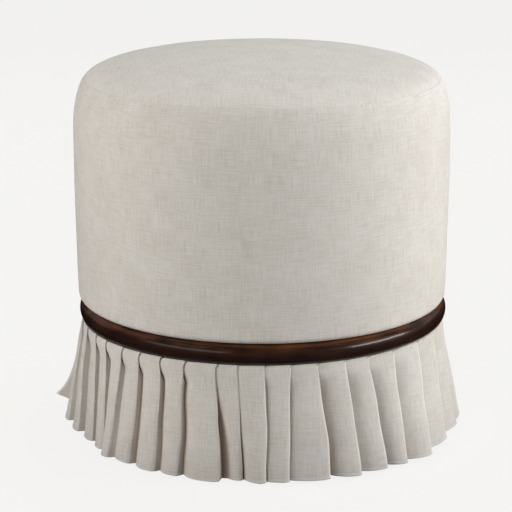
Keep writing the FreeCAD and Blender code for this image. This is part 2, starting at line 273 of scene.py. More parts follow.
@dataclass(frozen=True)
class Linen:
    """Undyed linen in a plain weave, with slubs and flecks.

    A share says how far a mark changes the tone, and a height how far it stands out.
    """

    name: str
    lay: Lay
    pale: Colour = (0.71, 0.674, 0.631)
    flax: Colour = (0.48, 0.427, 0.37)
    # shaded is painted shade, mixed in deep in the skirt's folds where shade falls.
    shaded: Colour = (0.43, 0.325, 0.25)
    # pressed is a painted highlight colour, laid along the fold edges where they catch the light.
    pressed: Colour = (0.86, 0.83, 0.79)
    thread: float = 0.75 * MM
    around_r: float = 226 * MM
    streak_run: float = 26 * MM
    streak_w: float = 1.5 * MM
    upright_seed: float = 7.0
    slub: Mark = Mark(9 * MM, 0.9 * MM, 3.0, 0.60, 0.74)
    knot: Mark = Mark(0.9 * MM, 7 * MM, 5.0, 0.62, 0.76)
    fleck: Mark = Mark(3.2 * MM, 2.4 * MM, 11.0, 0.60, 0.78, Detail.SOFT)
    cloud: float = 38 * MM
    cloud_seed: float = 17.0
    level_share: float = 1.05
    upright_share: float = 0.95
    cloud_share: float = 0.40
    weave_share: float = 0.10
    slub_share: float = 0.16
    mark_share: float = 0.14
    even_tone: float = 0.26
    tones: Point = (-0.15, 1.15)
    weave_height: float = 0.35
    streak_height: float = 0.9
    mark_height: float = 0.4
    relief: float = 0.22 * MM
    relief_strength: float = 0.55
    roughness: float = 0.9
    gloss: float = 0.15
    fold_shade_begin: float = 0.45
    fold_shade_share: float = 0.75
    edge_highlight_share: float = 0.7
    stitch_up: float = 4.2 * MM
    stitch_pitch: float = 3.2 * MM
    stitch_gap: Point = (-0.4, 0.0)
    stitch_edge: Point = (0.25 * MM, 0.5 * MM)
    stitch_share: float = 0.5
    stitch_sink: float = 2.0

    def _threads(self, nodes: Nodes) -> tuple[Signal, Signal]:
        """Finds the threads of the cloth.

        Args:
            nodes: Nodes of the material.

        Returns:
            Place along the weft and along the warp, in metres.
        """
        if self.lay is Lay.CUT:
            return nodes.cut()
        x, y, z = nodes.place()
        if self.lay is Lay.LEVEL:
            return x, y
        return nodes.math("ARCTAN2", x, y * -1.0) * self.around_r, z

    def _paint_fold_shade_and_highlight(self, nodes: Nodes, colour: Signal) -> Signal:
        """Paints shade into the colour deep in the folds, and paints a highlight along pressed fold edges.

        Args:
            nodes: Nodes of the material.
            colour: Colour of the flat cloth.

        Returns:
            The changed colour.
        """
        depth = nodes.add("ShaderNodeAttribute", {"attribute_name": FOLD_DEPTH}, None, "Fac")
        edge = nodes.add("ShaderNodeAttribute", {"attribute_name": EDGE_HIGHLIGHT}, None, "Fac")
        # Painted shade deep in the folds, then a painted highlight along the pressed fold edges.
        colour = nodes.mix(depth.ramp(self.fold_shade_begin, 1.0) * self.fold_shade_share, colour, self.shaded)
        return nodes.mix(edge * self.edge_highlight_share, colour, self.pressed)

    def _stitches(self, nodes: Nodes, weft: Signal, warp: Signal) -> Signal:
        """Finds the stitches of the hem.

        Args:
            nodes: Nodes of the material.
            weft: Place along the weft.
            warp: Place along the warp.

        Returns:
            1 on a stitch, and 0 off it.
        """
        above = nodes.math("ABSOLUTE", warp - self.stitch_up)
        dash = (weft * (math.tau / self.stitch_pitch)).sine().ramp(*self.stitch_gap)
        return (1.0 - above.ramp(*self.stitch_edge)) * dash

    def material(self) -> bpy.types.Material:
        """Builds the cloth.

        Returns:
            The finished material.
        """
        nodes = Nodes(self.name)
        weft, warp = self._threads(nodes)
        run, width = self.streak_run, self.streak_w
        level = nodes.noise(nodes.vector(weft / run, warp / width), Detail.SPUN)
        upright = nodes.noise(nodes.vector(weft / width, warp / run, self.upright_seed), Detail.SPUN)
        slub, knot, fleck = (mark.signal(nodes, weft, warp) for mark in (self.slub, self.knot, self.fleck))
        cloud = nodes.noise(nodes.vector(weft / self.cloud, warp / self.cloud, self.cloud_seed))
        turn = math.tau / self.thread
        weave = (weft * turn).sine() * (warp * turn).sine()
        tone = (level - NOISE_MIDDLE) * self.level_share + (upright - NOISE_MIDDLE) * self.upright_share
        tone = tone + (cloud - NOISE_MIDDLE) * self.cloud_share + weave * self.weave_share
        shade = tone + slub * self.slub_share + (knot + fleck) * self.mark_share + self.even_tone
        height = weave * self.weave_height + (level + upright) * self.streak_height
        height = height + (slub + knot) * self.mark_height
        colour = nodes.mix(shade.ramp(*self.tones), self.pale, self.flax)
        if self.lay is Lay.CUT:
            sewn = self._stitches(nodes, weft, warp)
            colour = nodes.mix(sewn * self.stitch_share, self._paint_fold_shade_and_highlight(nodes, colour), self.flax)
            height = height - sewn * self.stitch_sink
        return nodes.surface(
            Base_Color=colour,
            Roughness=self.roughness,
            Specular_IOR_Level=self.gloss,
            Normal=nodes.bump(height, self.relief, self.relief_strength),
        )


@dataclass(frozen=True)
class Walnut:
    """Dark polished walnut, its grain bent round the drum or upright in a leg."""

    name: str
    around: bool
    dark: Colour = (0.0125, 0.0062, 0.0060)
    warm: Colour = (0.15, 0.052, 0.017)
    coat: float = 0.8
    coat_roughness: float = 0.18
    hoop_r: float = 208 * MM
    ring: Point = (85 * MM, 5 * MM)
    pore: Point = (9 * MM, 0.6 * MM)
    cloud: Point = (30 * MM, 16 * MM)
    ring_share: float = 0.75
    cloud_share: float = 0.45
    tones: Point = (0.42, 0.82)
    # Painted light: the warm figure is full at the hoop's top and painted darker lower down, standing in for
    # light falling on its upper side.
    painted_light_top: float = 0.0
    painted_light_depth: float = 14 * MM
    painted_shade_share: float = 0.15
    pore_range: Point = (0.58, 0.72)
    pore_share: float = 0.55
    pore_height: float = 0.3
    roughness: float = 0.40
    ring_roughness: float = 0.16
    gloss: float = 0.1
    relief: float = 0.10 * MM
    relief_strength: float = 0.5

    @staticmethod
    def _noise(nodes: Nodes, grain: Sequence[Signal], size: Point, detail: Detail) -> Signal:
        """Noise drawn out along the grain, to a length and a width."""
        along, across, level = grain
        return nodes.noise(nodes.vector(along / size[0], across / size[1], level / size[1]), detail)

    def material(self) -> bpy.types.Material:
        """Builds the wood.

        Returns:
            The finished material.
        """
        nodes = Nodes(self.name)
        x, y, z = nodes.place()
        grain = (z, x, y)
        if self.around:
            grain = (nodes.math("ARCTAN2", x, y * -1.0) * self.hoop_r, nodes.math("SQRT", x * x + y * y), z)
        ring = self._noise(nodes, grain, self.ring, Detail.RINGED)
        pore = self._noise(nodes, grain, self.pore, Detail.PLAIN)
        cloud = self._noise(nodes, grain, self.cloud, Detail.SOFT)
        figure = (ring * self.ring_share + cloud * self.cloud_share).ramp(*self.tones)
        if self.painted_light_top:
            # Painted light on the top of the hoop and painted shade below it: the warm figure fades from the
            # top down.
            painted_light = z.ramp(self.painted_light_top - self.painted_light_depth, self.painted_light_top)
            figure = figure * (painted_light * (1 - self.painted_shade_share) + self.painted_shade_share)
        warm = nodes.mix(figure, self.dark, self.warm)
        return nodes.surface(
            Base_Color=nodes.mix(pore.ramp(*self.pore_range) * self.pore_share, warm, self.dark),
            Roughness=self.roughness + (ring - NOISE_MIDDLE) * self.ring_roughness,
            Specular_IOR_Level=self.gloss,
            Coat_Weight=self.coat,
            Coat_Roughness=self.coat_roughness,
            Normal=nodes.bump(ring + pore * self.pore_height, self.relief, self.relief_strength),
        )


@dataclass(frozen=True)
class SawnWood:
    """Plain unfinished wood or board: grain along one axis, with plies where a layer is given."""

    name: str
    pale: Colour
    dark: Colour
    grain_axis: int
    grain: float = 3 * MM
    run: float = 120 * MM
    layer: float = 0.0
    fibre: float = 0.7 * MM
    figure_share: float = 0.8
    fibre_share: float = 0.25
    layer_share: float = 0.12
    tones: Point = (0.30, 0.80)
    roughness: float = 0.72
    fibre_height: float = 0.5
    relief: float = 0.15 * MM
    relief_strength: float = 0.6

    def material(self) -> bpy.types.Material:
        """Builds the wood.

        Returns:
            The finished material.
        """
        nodes = Nodes(self.name)
        places = nodes.place()
        scales = [self.run if axis == self.grain_axis else self.grain for axis in range(len(places))]
        drawn = [place / scale for place, scale in zip(places, scales)]
        figure = nodes.noise(nodes.vector(*drawn), Detail.SAWN)
        fibre = nodes.noise(nodes.vector(*[place / self.fibre for place in places]), Detail.PLAIN)
        shade = figure * self.figure_share + fibre * self.fibre_share
        if self.layer:
            shade = shade + (places[2] * (math.tau / self.layer)).sine() * self.layer_share
        return nodes.surface(
            Base_Color=nodes.mix(shade.ramp(*self.tones), self.pale, self.dark),
            Roughness=self.roughness,
            Normal=nodes.bump(figure + fibre * self.fibre_height, self.relief, self.relief_strength),
        )


@dataclass(frozen=True)
class Fibre:
    """Foam, wadding, tape or non-woven cloth: cells or fibres with no direction."""

    name: str
    pale: Colour
    dark: Colour
    cell: float
    depth: float
    cloud: float = 30 * MM
    cell_share: float = 0.7
    cloud_share: float = 0.4
    tones: Point = (0.35, 0.75)
    roughness: float = 0.95
    gloss: float = 0.2
    relief_strength: float = 0.7

    def material(self) -> bpy.types.Material:
        """Builds the filling.

        Returns:
            The finished material.
        """
        nodes = Nodes(self.name)
        places = nodes.place()
        cells = nodes.noise(nodes.vector(*[place / self.cell for place in places]), Detail.CELLED)
        cloud = nodes.noise(nodes.vector(*[place / self.cloud for place in places]))
        shade = cells * self.cell_share + cloud * self.cloud_share
        return nodes.surface(
            Base_Color=nodes.mix(shade.ramp(*self.tones), self.pale, self.dark),
            Roughness=self.roughness,
            Specular_IOR_Level=self.gloss,
            Normal=nodes.bump(cells, self.depth, self.relief_strength),
        )


@dataclass(frozen=True)
class Hardware:
    """Turned metal or moulded plastic: a plain tone with fine marks and scuffs."""

    name: str
    tone: Colour
    worn: Colour
    metallic: float
    roughness: float
    mark_w: float = 0.5 * MM
    mark_run: float = 4 * MM
    mark_roughness: float = 0.1
    scuff: float = 6 * MM
    scuff_range: Point = (0.5, 0.7)
    scuff_share: float = 0.6
    scuff_roughness: float = 0.15
    relief: float = 0.05 * MM
    relief_strength: float = 0.4

    def material(self) -> bpy.types.Material:
        """Builds the metal or plastic.

        Returns:
            The finished material.
        """
        nodes = Nodes(self.name)
        x, y, z = nodes.place()
        marks = nodes.noise(nodes.vector(x / self.mark_w, y / self.mark_w, z / self.mark_run))
        patch = nodes.vector(x / self.scuff, y / self.scuff, z / self.scuff)
        scuff = nodes.noise(patch, Detail.SCUFFED).ramp(*self.scuff_range)
        rough = self.roughness + scuff * self.scuff_roughness
        return nodes.surface(
            Base_Color=nodes.mix(scuff * self.scuff_share, self.tone, self.worn),
            Roughness=rough + (marks - NOISE_MIDDLE) * self.mark_roughness,
            Metallic=self.metallic,
            Normal=nodes.bump(marks, self.relief, self.relief_strength),
        )


def new_piece(name: str, bm: bmesh.types.BMesh, material: bpy.types.Material) -> bpy.types.Object:
    """Turns a bmesh into a smooth piece that rides on the part.

    Args:
        name: Name of the piece.
        bm: Its mesh, which is freed.
        material: Its finish.

    Returns:
        The new object.
    """
    mesh = bpy.data.meshes.new(name)
    bm.to_mesh(mesh)
    bm.free()
    mesh.polygons.foreach_set("use_smooth", [True] * len(mesh.polygons))
    mesh.materials.append(material)
    piece = bpy.data.objects.new(name, mesh)
    bpy.context.scene.collection.objects.link(piece)
    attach(piece, ROOT)
    return piece


def thicken(piece: bpy.types.Object, thickness: float) -> None:
    """Gives a sheet its thickness, on its inner side.

    Args:
        piece: The sheet.
        thickness: How thick it becomes.
    """
    modifier = piece.modifiers.new("thickness", "SOLIDIFY")
    modifier.thickness = thickness
    modifier.offset = -1.0


def smooth(piece: bpy.types.Object) -> None:
    """Adds one subdivision.

    Args:
        piece: The piece that is smoothed.
    """
    modifier = piece.modifiers.new("smooth", "SUBSURF")
    modifier.levels = 1
    modifier.render_levels = 1


def spun(profile: Sequence[Point], steps: int) -> bmesh.types.BMesh:
    """Turns a profile of radii and heights once round the drum's axis.

    Args:
        profile: Points from foot to crown, or round a closed section.
        steps: Faces in one turn.

    Returns:
        The turned mesh, each vertex with its row and the faces pointing outwards.
    """
    bm = bmesh.new()
    row = bm.verts.layers.int.new(ROW)
    points = [bm.verts.new((0.0, -r, z)) for r, z in profile]
    for number, point in enumerate(points):
        point[row] = number
    edges = [bm.edges.new(pair) for pair in zip(points, points[1:])]
    origin = Vector((0, 0, 0))
    bmesh.ops.spin(bm, geom=points + edges, cent=origin, axis=UP, angle=math.tau, steps=steps, use_merge=True)
    bmesh.ops.remove_doubles(bm, verts=bm.verts, dist=TOUCH)
    bmesh.ops.recalc_face_normals(bm, faces=bm.faces)
    return bm


def eased(share: float) -> float:
    """Smooth step from 0 to 1."""
    share = min(max(share, 0.0), 1.0)
    return share * share * (3 - 2 * share)


def lerp(start: float, end: float, share: float) -> float:
    """Value at a share of the way between two values."""
    return start + (end - start) * share


def on_circle(centre: Point, radius: float, tilt: float) -> Point:
    """Point of a profile circle, at tilt degrees above the outward direction."""
    angle = math.radians(tilt)
    return centre[0] + radius * math.cos(angle), centre[1] + radius * math.sin(angle)


def arc_points(centre: Point, radius: float, start: float, end: float, count: int) -> list[Point]:
    """Points of an arc of a profile from one tilt in degrees to another, without the last."""
    return [on_circle(centre, radius, lerp(start, end, step / count)) for step in range(count)]


def tilt_from(centre: Point, point: Point) -> float:
    """Tilt in degrees of a point seen from a centre."""
    return math.degrees(math.atan2(point[1] - centre[1], point[0] - centre[0]))


@dataclass
class Outline:
    """The drum's outline, as tangent arcs from the hoop to the crown."""

    bow_r: float = 7400 * MM
    upper_r: float = 135 * MM
    upper_lean: float = 20.0
    shoulder_r: float = 26 * MM
    shoulder_slope: float = 23.0
    edge_r: float = 140 * MM
    edge_slope: float = 6.0
    seam_tilt: float = 40.0
    roll_r: float = 7.5 * MM
    section_r: float = 15.3 * MM
    seat_gap: float = 0.4 * MM
    tuck_tilt: float = 108.0
    tuck_steps: int = 4
    roll_steps: int = 9
    bow_steps: int = 20
    upper_steps: int = 7
    below_seam_steps: int = 4
    above_seam_steps: int = 5
    edge_steps: int = 7
    crown_steps: int = 18

    def __post_init__(self) -> None:
        """Takes the drum's width and height and the hoop's place from the frame."""
        self.drum_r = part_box("cover_side")[1].x
        self.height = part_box("cover_top")[1].z
        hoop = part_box("trim_ring")[1]
        self.hoop = (hoop.x - self.section_r, hoop.z - self.section_r)
        self.arcs = self._upper_arcs()
        last, last_r, _, _ = self.arcs[-1]
        self.widest = self.height - (last[1] + last_r)
        self.bow = (self.drum_r - self.bow_r, self.widest)
        self.roll = self._roll_centre()

    def _upper_arcs(self) -> list[tuple[Point, float, float, float]]:
        """Works out the arcs above the widest level, which is taken as height 0.

        Returns:
            Centre, radius, start tilt and end tilt of each arc, up to the crown.
        """
        arcs = []
        place = (self.drum_r, 0.0)
        tilt = 0.0
        bends = (
            (self.upper_r, self.upper_lean),
            (self.shoulder_r, RIGHT_ANGLE - self.shoulder_slope),
            (self.edge_r, RIGHT_ANGLE - self.edge_slope),
        )
        for radius, end in bends:
            centre = on_circle(place, -radius, tilt)
            arcs.append((centre, radius, tilt, end))
            place = on_circle(centre, radius, end)
            tilt = end
        crown_r = place[0] / math.cos(math.radians(tilt))
        arcs.append((on_circle(place, -crown_r, tilt), crown_r, tilt, RIGHT_ANGLE))
        return arcs

    def _roll_centre(self) -> Point:
        """Fits the foot roll between the side's bow and the hoop's seat.

        Returns:
            Centre of the roll.
        """
        reach_bow = self.bow_r - self.roll_r
        reach_hoop = self.section_r + self.seat_gap + self.roll_r
        between = Vector(self.hoop) - Vector(self.bow)
        along = (between.length_squared + reach_bow**2 - reach_hoop**2) / (2 * between.length)
        aside = math.sqrt(reach_bow**2 - along**2)
        ahead = between.normalized()
        centre = Vector(self.bow) + ahead * along + Vector((-ahead.y, ahead.x)) * aside
        return centre.x, centre.y

    def points(self, inset: float, tucked: bool = False) -> tuple[list[Point], int]:
        """Profile from the foot to the axis.

        Args:
            inset: How far inside the cover's face the profile runs.
            tucked: Whether it starts behind the hoop, as the cover does, and not under the foot roll.

        Returns:
            The points, and the number of the point on the seam.
        """
        foot = tilt_from(self.bow, self.roll)
        profile = []
        under = -RIGHT_ANGLE
        if tucked:
            meet = tilt_from(self.hoop, self.roll)
            seat_r = self.section_r + self.seat_gap + inset
            profile = arc_points(self.hoop, seat_r, self.tuck_tilt, meet, self.tuck_steps)
            under = meet - HALF_TURN
        profile += arc_points(self.roll, self.roll_r - inset, under, foot, self.roll_steps)
        profile += arc_points(self.bow, self.bow_r - inset, foot, 0, self.bow_steps)
        arcs = []
        for (x, z), radius, start, end in self.arcs:
            arcs.append(((x, z + self.widest), radius - inset, start, end))
        upper, (shoulder, shoulder_r, below, above), edge, crown = arcs
        profile += arc_points(*upper, self.upper_steps)
        profile += arc_points(shoulder, shoulder_r, below, self.seam_tilt, self.below_seam_steps)
        seam = len(profile)
        profile += arc_points(shoulder, shoulder_r, self.seam_tilt, above, self.above_seam_steps)
        profile += arc_points(*edge, self.edge_steps)
        profile += arc_points(*crown, self.crown_steps)
        return profile + [(0.0, self.height - inset)], seam


@dataclass
class Drum:
    """The linen cover of the drum: a top panel and a side band, swelled over the padding."""

    outline: Outline
    thickness: float = 1.2 * MM
    steps: int = 160
    slack: float = 1.0 * MM
    swell_cap: float = 1.2 * MM
    pressure: float = 165.0
    foam_hold: float = 0.45
    free_rise: float = 20 * MM
    frames: int = 20
    cloth_quality: int = 6
    cloth_stretch: float = 30.0
    cloth_shear: float = 15.0
    cloth_bending: float = 1.0
    seam_support: float = 0.7 * MM
    seam_back: float = 0.10 * MM
    seam_back_aside: float = 0.35 * MM
    seam_aside_power: int = 4
    seam_open: float = 0.02 * MM
    seam_sinks: tuple[float, ...] = (0.0, 0.0, 0.2 * MM, 1.4 * MM)
    waver: float = 0.5 * MM
    waver_length: float = 70 * MM
    shift: float = -1.2 * MM

    def build(self) -> list[bpy.types.Object]:
        """Makes the two panels of the cover.

        Returns:
            The top panel and the side band.
        """
        full, seam = self.outline.points(0.0, True)
        small, _ = self.outline.points(self.slack, True)
        hoop_top = self.outline.hoop[1] + self.outline.section_r
        free = [eased((z - hoop_top) / self.free_rise) for _, z in full]
        start = [(lerp(a[0], b[0], w), lerp(a[1], b[1], w)) for a, b, w in zip(full, small, free)]
        bm = spun(start, self.steps)
        self._swell(bm, free)
        self._waver(bm, free)
        around = math.tau * self.outline.drum_r
        rise = sum(math.dist(a, b) for a, b in zip(full[:seam], full[1 : seam + 1]))
        across = 2 * sum(math.dist(a, b) for a, b in zip(full[seam:], full[seam + 1 :]))
        top = self._panel(bm.copy(), "linen_top_panel", "cover_top", seam, True)
        band = self._panel(bm, "linen_side_band", "cover_side", seam, False)
        sizes = [size / MM for size in (across, around, rise)]
        LOG.info("top panel cut %.0f mm across, side band %.0f x %.0f mm", *sizes)
        return [top, band]

    def _swell(self, bm: bmesh.types.BMesh, free: Sequence[float]) -> None:
        """Args:
            bm: The cover's mesh, moved in place.
            free: How free each row is, from 0 behind the hoop to 1.
        """
        bm.normal_update()
        row = bm.verts.layers.int[ROW]
        mesh = bpy.data.meshes.new("cover_cloth")
        bm.to_mesh(mesh)
        cloth = bpy.data.objects.new("cover_cloth", mesh)
        scene = bpy.context.scene
        scene.collection.objects.link(cloth)
        bm.verts.ensure_lookup_table()
        held = cloth.vertex_groups.new(name="held")
        for number, vert in enumerate(bm.verts):
            held.add([number], lerp(1.0, self.foam_hold, free[vert[row]]), "REPLACE")
        settings = cloth.modifiers.new("cloth", "CLOTH").settings
        settings.quality = self.cloth_quality
        settings.tension_stiffness = self.cloth_stretch
        settings.compression_stiffness = self.cloth_stretch
        settings.shear_stiffness = self.cloth_shear
        settings.bending_stiffness = self.cloth_bending
        settings.use_pressure = True
        settings.uniform_pressure_force = self.pressure
        settings.effector_weights.gravity = 0.0
        settings.vertex_group_mass = held.name
        for step in range(1, self.frames + 1):
            scene.frame_set(step)
        swelled = cloth.evaluated_get(bpy.context.evaluated_depsgraph_get()).to_mesh()
        moves = [after.co - before.co for after, before in zip(swelled.vertices, mesh.vertices)]
        lengths = sorted(move.length for move in moves)
        LOG.info("cover swelled %.1f mm, %.1f mm at most", lengths[len(lengths) // 2] / MM, lengths[-1] / MM)
        for vert, move in zip(bm.verts, moves):
            vert.co += move * min(1.0, self.swell_cap / max(move.length, TOUCH))
        bpy.data.objects.remove(cloth)
        scene.frame_set(1)

    def _waver(self, bm: bmesh.types.BMesh, free: Sequence[float]) -> None:
        """Moves the cover a little in and out, as hand-pulled linen lies, and to its place over the hoop.

        Args:
            bm: The cover's mesh, moved in place.
            free: How free each row is, from 0 behind the hoop to 1.
        """
        bm.normal_update()
        row = bm.verts.layers.int[ROW]
        for vert in bm.verts:
            push = noise.noise(vert.co / self.waver_length) * self.waver
            vert.co += vert.normal * push * free[vert[row]]
        bmesh.ops.translate(bm, verts=bm.verts, vec=Vector((self.shift, 0, 0)))

    def _panel(self, bm: bmesh.types.BMesh, name: str, node: str, seam: int, above: bool) -> bpy.types.Object:
        """Keeps one side of the seam as a panel and turns its edge in.

        Args:
            bm: The whole cover, which is used up.
            name: Name of the panel.
            node: The CAD node that it replaces.
            seam: Number of the row on the seam.
            above: Whether the top panel is kept, and not the side band.

        Returns:
            The panel.
        """
        row = bm.verts.layers.int[ROW]
        other = [f for f in bm.faces if (sum(v[row] for v in f.verts) / len(f.verts) < seam) == above]
        bmesh.ops.delete(bm, geom=other, context="FACES")
        bm.normal_update()
        edges = [e for e in bm.edges if e.is_boundary and all(v[row] == seam for v in e.verts)]
        side = 1.0 if above else -1.0
        places = {}
        for vert in {v for e in edges for v in e.verts}:
            radial = Vector((vert.co.x, vert.co.y, 0)).normalized()
            into = vert.normal.cross(UP.cross(radial)) * side
            places[vert] = (vert.co.copy(), into, vert.normal.copy())
        for turn, sink in enumerate(self.seam_sinks):
            for vert, (spot, into, out) in places.items():
                aside = abs(spot.x) / spot.xy.length
                back = lerp(self.seam_back, self.seam_back_aside, aside**self.seam_aside_power)
                ways = (self.seam_support, back, self.seam_open, self.seam_open)
                vert.co = spot + into * ways[turn] - out * sink
            if sink == self.seam_sinks[-1]:
                break
            made = bmesh.ops.extrude_edge_only(bm, edges=edges)["geom"]
            edges = [item for item in made if isinstance(item, bmesh.types.BMEdge)]
            fresh = [item for item in made if isinstance(item, bmesh.types.BMVert)]
            near = {tuple(vert.co): known for vert, known in places.items()}
            places = {vert: near[tuple(vert.co)] for vert in fresh}
        bmesh.ops.recalc_face_normals(bm, faces=bm.faces)
        lay = Lay.LEVEL if above else Lay.AROUND
        piece = new_piece(name, bm, Linen(name, lay).material())
        smooth(piece)
        thicken(piece, self.thickness)
        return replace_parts(piece, node)


@dataclass
class Padding:
    """What fills the cover: wadding, the crowned seat foam and the foam round the wall."""

    outline: Outline
    wadding_in: float = 3.0 * MM
    wadding_t: float = 2.7 * MM
    foam_in: float = 5.8 * MM
    gap: float = 0.3 * MM
    steps: int = 96

    def build(self) -> list[bpy.types.Object]:
        """Makes the three fillings.

        Returns:
            The wadding, the seat foam and the side foam.
        """
        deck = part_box("seat_deck")[1].z
        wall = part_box("side_wall")[1].x + self.gap
        foam = FOAM.material()
        inner, _ = self.outline.points(self.wadding_in)
        wrap = new_piece("wadding_wrap", spun(inner, self.steps), WADDING.material())
        thicken(wrap, self.wadding_t)
        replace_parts(wrap, "fibre_wrap")
        points, _ = self.outline.points(self.foam_in)
        crown = [(0.0, deck)] + self._between(points, deck, self.outline.height)
        seat = new_piece("crowned_seat_foam", spun(crown, self.steps), foam)
        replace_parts(seat, "seat_foam")
        side = self._between(points, 0.0, deck - self.gap)
        section = [(wall, side[0][1])] + side + [(wall, side[-1][1]), (wall, side[0][1])]
        collar = new_piece("side_foam", spun(section, self.steps), foam)
        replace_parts(collar, "side_padding")
        return [wrap, seat, collar]

    @staticmethod
    def _between(points: Sequence[Point], low: float, high: float) -> list[Point]:
        """Cuts a rising profile at two heights.

        Args:
            points: The profile.
            low: The lower height.
            high: The upper height.

        Returns:
            The part between the heights, with its cut ends.
        """
        kept = []
        for here, after in zip(points, points[1:]):
            if low <= here[1] <= high:
                kept.append(here)
            for cut in (low, high):
                if here[1] < cut < after[1]:
                    kept.append((lerp(here[0], after[0], (cut - here[1]) / (after[1] - here[1])), cut))
        return kept + [points[-1]] if points[-1][1] <= high else kept


@dataclass(frozen=True)
class Form:
    """How a pleat hangs.

    At the hem, gap is the angle in degrees from its fold edge to the fold behind it, and depth how deep that
    fold lies. Floor is the share of its width that stays in the fold before it, fullness how fast its face
    swells out from there, and nose how far the face rolls back over the last share, curl, of its width. Under
    the hoop it hooks aside by an angle, and is pressed down to a share of the drop. Edge highlight is how
    strongly a painted highlight, standing in for light caught by the edge, lies along its fold edge. It opens
    evenly down the drop or, as early nears 1, over the spread below the pressed share.
    """

    gap: float
    depth: float
    floor: float
    fullness: float
    nose: float
    curl: float
    hook: float
    pressed: float
    edge_highlight: float
    spread: float = 0.15
    early: float = 0.75

    def opened(self, share: float) -> float:
        """How far the pleat has opened at a share of the drop, from 0 under the hoop to 1 at the hem."""
        return lerp(share, eased((share - self.pressed) / self.spread), self.early)


class Hang(Enum):
    """Forms of the pleats, from open tubes to flat panels."""

    OPEN = Form(
        gap=0.1, depth=18 * MM, floor=0.12, fullness=5.0,
        nose=4.0 * MM, curl=0.20, hook=0.9, pressed=0.05, edge_highlight=0.0,
    )
    TUBE = Form(
        gap=0.8, depth=9 * MM, floor=0.02, fullness=4.0,
        nose=2.5 * MM, curl=0.15, hook=0.9, pressed=0.05, edge_highlight=0.0,
    )
    LAPPED = Form(
        gap=0.3, depth=14 * MM, floor=0.02, fullness=4.0,
        nose=2.5 * MM, curl=0.15, hook=0.9, pressed=0.05, edge_highlight=0.0, spread=0.7, early=0.6,
    )
    TUCKED = Form(
        gap=-0.2, depth=8 * MM, floor=0.30, fullness=2.4,
        nose=3.0 * MM, curl=0.20, hook=0.3, pressed=0.07, edge_highlight=1.0, spread=0.7, early=0.6,
    )
    PRESSED = Form(
        gap=-0.2, depth=8 * MM, floor=0.0, fullness=2.4,
        nose=4.0 * MM, curl=0.20, hook=0.3, pressed=0.07, edge_highlight=1.0,
    )
    KNIFE = Form(
        gap=0.2, depth=17 * MM, floor=0.0, fullness=2.4,
        nose=1.8 * MM, curl=0.15, hook=0.3, pressed=0.07, edge_highlight=1.0,
    )
    FLAT = Form(
        gap=-0.2, depth=5 * MM, floor=0.0, fullness=2.0,
        nose=0.8 * MM, curl=0.12, hook=0.0, pressed=0.07, edge_highlight=1.0,
    )


@dataclass(frozen=True)
class Fold:
    """One fold edge of the skirt.

    Top and hem are its angles in degrees from the front towards the right, and reach is its radius at the hem
    in millimetres. Lift is how far the hem rises between folds, and kick the share of the flare that is late.
    """

    top: float
    hem: float
    reach: float
    hang: Hang = Hang.KNIFE
    lift: float = 0.0
    kick: float = 0.0


